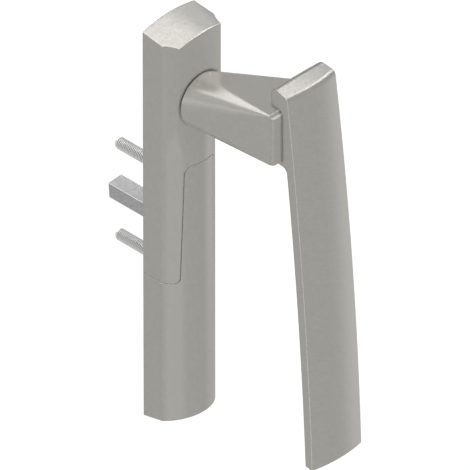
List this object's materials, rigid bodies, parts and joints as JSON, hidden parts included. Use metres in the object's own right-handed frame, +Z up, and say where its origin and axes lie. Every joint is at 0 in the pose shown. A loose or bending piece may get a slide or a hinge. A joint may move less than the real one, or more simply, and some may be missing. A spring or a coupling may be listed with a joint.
{
  "type": "offset window handle",
  "caption": "Offset window handle: a cranked lever turns a square spindle lower down through a rack and pinions in a slim housing with a sliding screw cover.",
  "frame": {"origin": "on the spindle axis in the mounting plane, midway between the fixing screws", "axes": "+Z up along the housing, -Y out of the window towards the room, +X to the right"},
  "size_m": [0.0442, 0.1066, 0.1827],
  "materials": {
    "satin_silver": "fine satin",
    "zinc_plate": "bright zinc plated",
    "gear_steel": "plain steel",
    "spring_steel": "polished",
    "dark_steel": "black oxide",
    "dark_plastic": "matte",
    "pale_plastic": "matte"
  },
  "bodies": {
    "housing": {"housing": "satin_silver", "base_plate": "zinc_plate", "plate_screws": "zinc_plate", "upper_fixing_screw": "zinc_plate", "lower_fixing_screw": "zinc_plate", "lever_bush": "dark_plastic", "front_bush": "pale_plastic", "back_bush": "pale_plastic", "rack_liner": "pale_plastic", "detent_ball": "spring_steel", "detent_spring": "spring_steel"},
    "lever": {"neck": "satin_silver", "grip": "satin_silver", "grip_screw": "dark_steel", "lever_pinion": "gear_steel", "lever_washer": "spring_steel", "lever_screw": "zinc_plate"},
    "rack": {"rack": "gear_steel"},
    "spindle": {"spindle_pinion": "gear_steel", "spindle": "gear_steel", "spindle_pin": "gear_steel"},
    "screw_cover": {"screw_cover": "satin_silver"}
  },
  "joints": [
    {"name": "lever_turn", "type": "hinge", "parent": "housing", "child": "lever", "pos_m": [0, 0, 0.0645], "axis": [0, -1, 0], "range_deg": [0, 180]},
    {"name": "rack_slide", "type": "slide", "parent": "housing", "child": "rack", "axis": [0, 0, 1], "range_m": [-0.0225, 0]},
    {"name": "spindle_turn", "type": "hinge", "parent": "housing", "child": "spindle", "pos_m": [0, 0, 0], "axis": [0, -1, 0], "range_deg": [0, 180]},
    {"name": "cover_slide", "type": "slide", "parent": "housing", "child": "screw_cover", "axis": [0, 0, -1], "range_m": [0, 0.12]}
  ],
  "couplings": [
    {"joint": "rack_slide", "follows": "lever_turn", "m_per_rad": -0.007},
    {"joint": "spindle_turn", "follows": "lever_turn", "ratio": 1}
  ]
}
